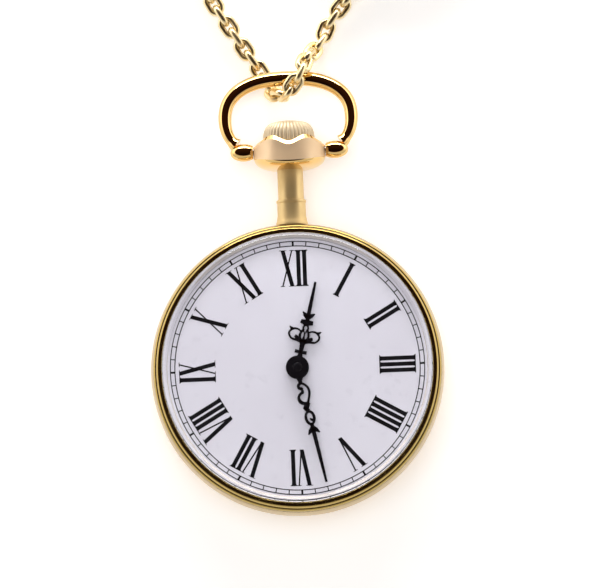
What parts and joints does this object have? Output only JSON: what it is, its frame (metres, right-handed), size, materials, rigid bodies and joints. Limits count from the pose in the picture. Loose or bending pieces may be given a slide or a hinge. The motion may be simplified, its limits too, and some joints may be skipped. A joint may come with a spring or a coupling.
{
  "type": "pocket watch",
  "caption": "Open-face pendant pocket watch in a snap-back gold case, with crown winding, a swinging oval bow and a cable-link neck chain.",
  "frame": {"origin": "centre of the flat on the back cover", "axes": "+Z is the dial's normal, out of the face; +Y points to 12 o'clock, along the pendant; +X points to 3 o'clock"},
  "size_m": [0.0554, 0.117, 0.0114],
  "materials": {
    "gold": "polished gold plate",
    "pale_gold": "satin rolled gold",
    "movement_brass": "brushed",
    "steel": "polished steel",
    "nickel": "striped nickel",
    "ruby": "polished",
    "crystal": "clear acrylic",
    "dial": "satin white enamel",
    "hands": "gloss black",
    "chain_gold": "polished gold plate",
    "tie": "paper-covered wire"
  },
  "bodies": {
    "case": {"case_back": "gold", "bezel": "gold", "pendant_tube": "gold", "pendant_head": "gold", "case_middle": "pale_gold", "movement_ring": "movement_brass", "main_plate": "movement_brass", "case_screws": "steel", "bow_pins": "steel", "click_spring": "steel", "setting_bridge": "steel", "movement_screws": "steel", "barrel_bridge": "nickel", "train_bridge": "nickel", "pallet_bridge": "nickel", "balance_cock": "nickel", "jewels": "ruby", "crystal": "crystal", "dial": "dial", "chain_left": "chain_gold", "chain_right": "chain_gold", "chain_coil": "chain_gold", "chain_tail": "chain_gold", "clasp_body": "chain_gold", "end_ring": "chain_gold", "coil_tie": "tie"},
    "bow": {"bow": "gold", "bow_knobs": "gold", "chain_loop": "chain_gold"},
    "winding": {"winding_pinion": "steel"},
    "stem": {"crown": "pale_gold", "winding_stem": "steel"},
    "clutch": {"sliding_pinion": "steel"},
    "crown_wheel": {"crown_wheel": "steel"},
    "ratchet": {"ratchet_wheel": "steel", "ratchet_screw": "steel", "barrel_arbor": "steel"},
    "click": {"click": "steel"},
    "setting_lever": {"setting_lever": "steel"},
    "yoke": {"yoke": "steel"},
    "minute": {"centre_wheel": "movement_brass", "cannon_pinion": "steel", "minute_hand": "hands"},
    "hour": {"hour_wheel": "movement_brass", "hour_hand": "hands"},
    "minute_wheel": {"minute_wheel": "movement_brass"},
    "setting_wheel": {"setting_wheel": "steel"},
    "barrel": {"barrel_drum": "movement_brass", "barrel_lid": "movement_brass", "mainspring": "steel"},
    "third": {"third_wheel": "movement_brass"},
    "fourth": {"fourth_wheel": "movement_brass"},
    "escape": {"escape_wheel": "steel"},
    "fork": {"pallet_fork": "steel", "pallet_stones": "ruby"},
    "balance": {"balance_wheel": "movement_brass", "roller": "steel", "hairspring": "steel"},
    "regulator": {"regulator": "steel"},
    "bolt": {"clasp_bolt": "chain_gold"}
  },
  "joints": [
    {"name": "bow_swing", "type": "hinge", "parent": "case", "child": "bow", "pos_m": [0, 0.0315, 0.0053], "axis": [1, 0, 0], "range_deg": [-86, 104]},
    {"name": "crown_turn", "type": "hinge", "parent": "case", "child": "winding", "pos_m": [0, 0.015, 0.0053], "axis": [0, 1, 0], "continuous": true},
    {"name": "crown_pull", "type": "slide", "parent": "winding", "child": "stem", "axis": [0, 1, 0], "range_m": [0, 0.001]},
    {"name": "clutch_slide", "type": "slide", "parent": "winding", "child": "clutch", "axis": [0, 1, 0], "range_m": [-0.00085, 0]},
    {"name": "crown_wheel_turn", "type": "hinge", "parent": "case", "child": "crown_wheel", "pos_m": [0, 0.0118, 0.003], "axis": [0, 0, 1], "continuous": true},
    {"name": "ratchet_turn", "type": "hinge", "parent": "case", "child": "ratchet", "pos_m": [-0.00514, 0.00504, 0.003], "axis": [0, 0, 1], "continuous": true},
    {"name": "click_lift", "type": "hinge", "parent": "case", "child": "click", "pos_m": [-0.00747, 0.01143, 0.003], "axis": [0, 0, 1], "range_deg": [0, 12], "stiffness_Nm_per_rad": 0.00001},
    {"name": "lever_swing", "type": "hinge", "parent": "case", "child": "setting_lever", "pos_m": [0.0034, 0.0156, 0.0067], "axis": [0, 0, 1], "range_deg": [-17.5, 0]},
    {"name": "yoke_swing", "type": "hinge", "parent": "case", "child": "yoke", "pos_m": [-0.0046, 0.0132, 0.0067], "axis": [0, 0, 1], "range_deg": [-14, 0]},
    {"name": "minute_turn", "type": "hinge", "parent": "case", "child": "minute", "pos_m": [0, 0, 0.007], "axis": [0, 0, 1], "continuous": true},
    {"name": "hour_turn", "type": "hinge", "parent": "case", "child": "hour", "pos_m": [0, 0, 0.007], "axis": [0, 0, 1], "continuous": true},
    {"name": "minute_wheel_turn", "type": "hinge", "parent": "case", "child": "minute_wheel", "pos_m": [0, 0.003, 0.007], "axis": [0, 0, 1], "continuous": true},
    {"name": "setting_wheel_turn", "type": "hinge", "parent": "case", "child": "setting_wheel", "pos_m": [0, 0.0078, 0.0067], "axis": [0, 0, 1], "continuous": true},
    {"name": "barrel_turn", "type": "hinge", "parent": "case", "child": "barrel", "pos_m": [-0.00514, 0.00504, 0.005], "axis": [0, 0, 1], "continuous": true},
    {"name": "third_turn", "type": "hinge", "parent": "case", "child": "third", "pos_m": [0.00507, -0.00293, 0.0045], "axis": [0, 0, 1], "continuous": true},
    {"name": "fourth_turn", "type": "hinge", "parent": "case", "child": "fourth", "pos_m": [0.00252, -0.00734, 0.0045], "axis": [0, 0, 1], "continuous": true},
    {"name": "escape_turn", "type": "hinge", "parent": "case", "child": "escape", "pos_m": [-0.00182, -0.00811, 0.0045], "axis": [0, 0, 1], "continuous": true},
    {"name": "fork_rock", "type": "hinge", "parent": "case", "child": "fork", "pos_m": [-0.00427, -0.00745, 0.0045], "axis": [0, 0, 1], "range_deg": [-5, 5]},
    {"name": "balance_swing", "type": "hinge", "parent": "case", "child": "balance", "pos_m": [-0.00755, -0.00657, 0.004], "axis": [0, 0, 1], "range_deg": [-270, 270], "stiffness_Nm_per_rad": 0.0000004},
    {"name": "regulator_swing", "type": "hinge", "parent": "case", "child": "regulator", "pos_m": [-0.00755, -0.00657, 0.002], "axis": [0, 0, 1], "range_deg": [-15, 15]},
    {"name": "bolt_open", "type": "hinge", "parent": "case", "child": "bolt", "pos_m": [-0.0109, 0.066, 0.0014], "axis": [0, 0, 1], "range_deg": [-50, 0], "stiffness_Nm_per_rad": 0.0001}
  ],
  "couplings": [
    {"joint": "clutch_slide", "follows": "crown_pull", "ratio": -0.8},
    {"joint": "lever_swing", "follows": "crown_pull", "rad_per_m": -294},
    {"joint": "yoke_swing", "follows": "crown_pull", "rad_per_m": -222},
    {"joint": "crown_wheel_turn", "follows": "crown_turn", "ratio": 0.36364},
    {"joint": "ratchet_turn", "follows": "crown_turn", "ratio": -0.23077},
    {"joint": "hour_turn", "follows": "minute_turn", "ratio": 0.083333},
    {"joint": "minute_wheel_turn", "follows": "minute_turn", "ratio": -0.33333},
    {"joint": "setting_wheel_turn", "follows": "minute_turn", "ratio": 0.29412},
    {"joint": "barrel_turn", "follows": "minute_turn", "ratio": -0.125},
    {"joint": "third_turn", "follows": "minute_turn", "ratio": -8},
    {"joint": "fourth_turn", "follows": "minute_turn", "ratio": 60},
    {"joint": "escape_turn", "follows": "minute_turn", "ratio": -600}
  ]
}
